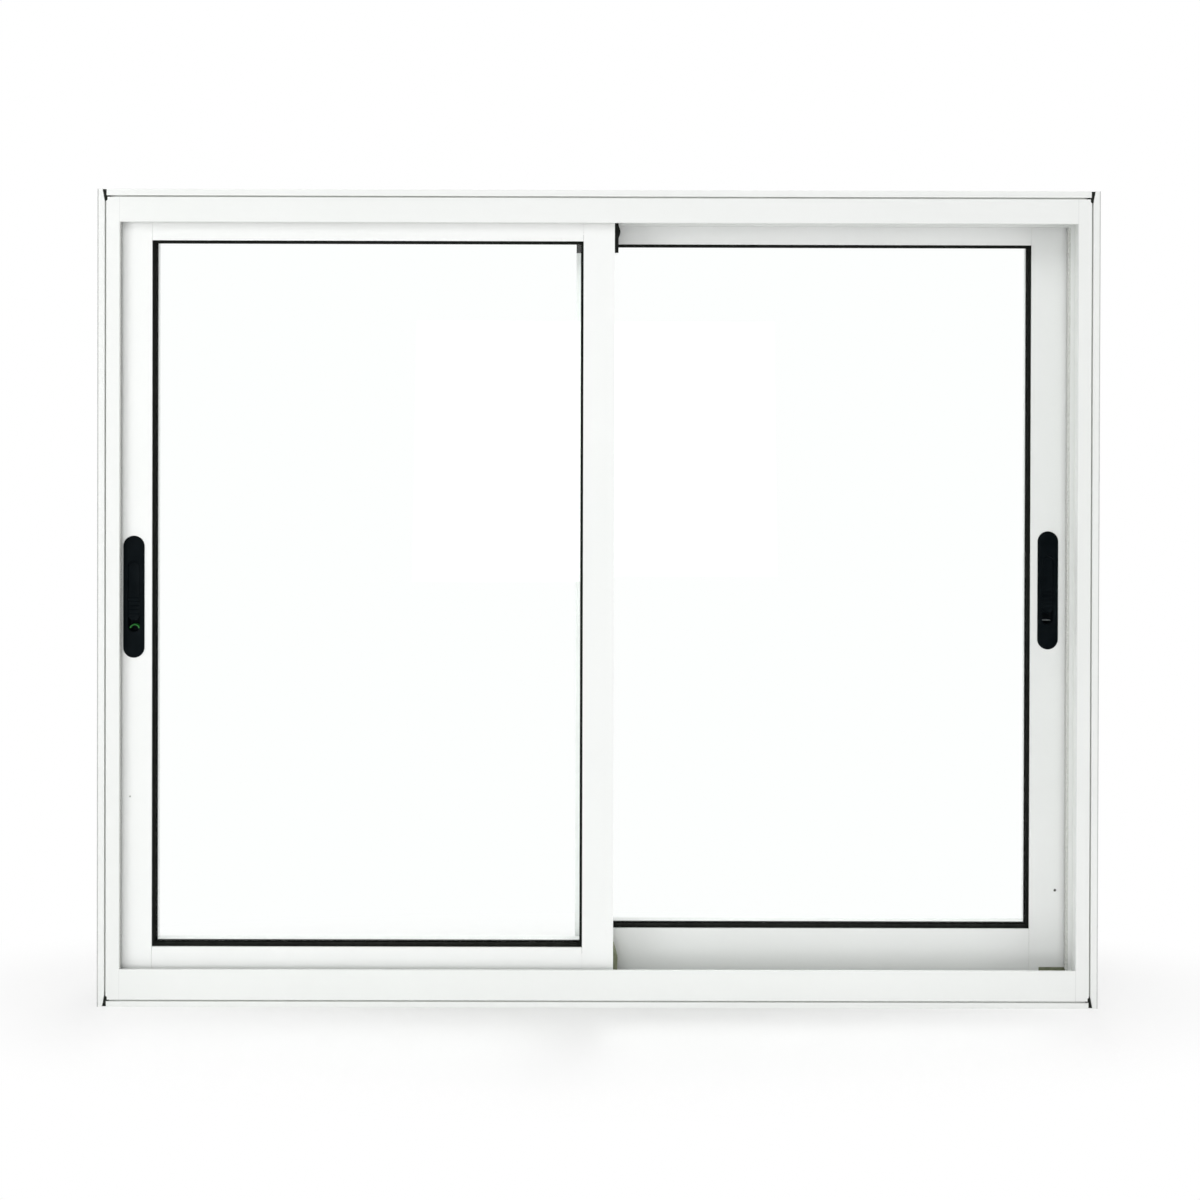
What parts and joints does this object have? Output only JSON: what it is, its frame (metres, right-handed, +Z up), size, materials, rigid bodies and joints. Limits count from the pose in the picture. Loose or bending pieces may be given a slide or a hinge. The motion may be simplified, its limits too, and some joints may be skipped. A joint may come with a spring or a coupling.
{
  "type": "horizontal sliding window",
  "caption": "White aluminium sliding window with two glazed sashes on rollers in a double-track frame, hooked meeting stiles and flush black latches.",
  "frame": {"origin": "middle of the frame's underside", "axes": "+Z up, +X along the window to the right seen from the room, +Y to the outside; the room side faces -Y"},
  "size_m": [1.2, 0.0944, 0.98],
  "materials": {
    "frame": "satin white powder coat",
    "sash": "satin white powder coat",
    "glass": "clear float glass",
    "gasket": "matte black rubber",
    "brush": "grey woven pile",
    "latch": "satin black moulded",
    "cap": "matte black moulded",
    "nylon": "natural nylon",
    "rail": "drawn stainless strip",
    "steel": "stamped stainless"
  },
  "bodies": {
    "frame": {"left_jamb": "frame", "right_jamb": "frame", "head": "frame", "sill": "frame", "front_rail_cap": "rail", "rear_rail_cap": "rail", "left_keeper": "steel", "right_keeper": "steel", "left_bumpers": "gasket", "right_bumpers": "gasket", "left_jamb_seal": "brush", "right_jamb_seal": "brush", "head_seals": "brush", "sill_seals": "brush", "drain_covers": "nylon", "corner_pads": "gasket", "frame_screws": "steel", "track_end_blocks": "cap"},
    "front_sash": {"front_lock_stile": "sash", "front_meeting_stile": "sash", "front_top_rail": "sash", "front_bottom_rail": "sash", "front_glass": "glass", "front_inner_gasket": "gasket", "front_outer_gasket": "gasket", "front_interlock": "sash", "front_interlock_caps": "cap", "front_latch_body": "latch", "front_roller_cases": "nylon", "front_roller_wheels": "nylon", "front_top_guides": "cap", "front_feet": "cap"},
    "front_latch": {"front_latch_slider": "latch"},
    "rear_sash": {"rear_lock_stile": "sash", "rear_meeting_stile": "sash", "rear_top_rail": "sash", "rear_bottom_rail": "sash", "rear_glass": "glass", "rear_inner_gasket": "gasket", "rear_outer_gasket": "gasket", "rear_interlock": "sash", "rear_interlock_caps": "cap", "rear_latch_body": "latch", "rear_roller_cases": "nylon", "rear_roller_wheels": "nylon", "rear_top_guides": "cap", "rear_feet": "cap"},
    "rear_latch": {"rear_latch_slider": "latch"}
  },
  "joints": [
    {"name": "front_sash_slide", "type": "slide", "parent": "frame", "child": "front_sash", "axis": [1, 0, 0], "range_m": [0, 0.55]},
    {"name": "rear_sash_slide", "type": "slide", "parent": "frame", "child": "rear_sash", "axis": [-1, 0, 0], "range_m": [0, 0.55]},
    {"name": "front_latch_slide", "type": "slide", "parent": "front_sash", "child": "front_latch", "axis": [0, 0, -1], "range_m": [0, 0.008]},
    {"name": "rear_latch_slide", "type": "slide", "parent": "rear_sash", "child": "rear_latch", "axis": [0, 0, -1], "range_m": [0, 0.008]}
  ]
}
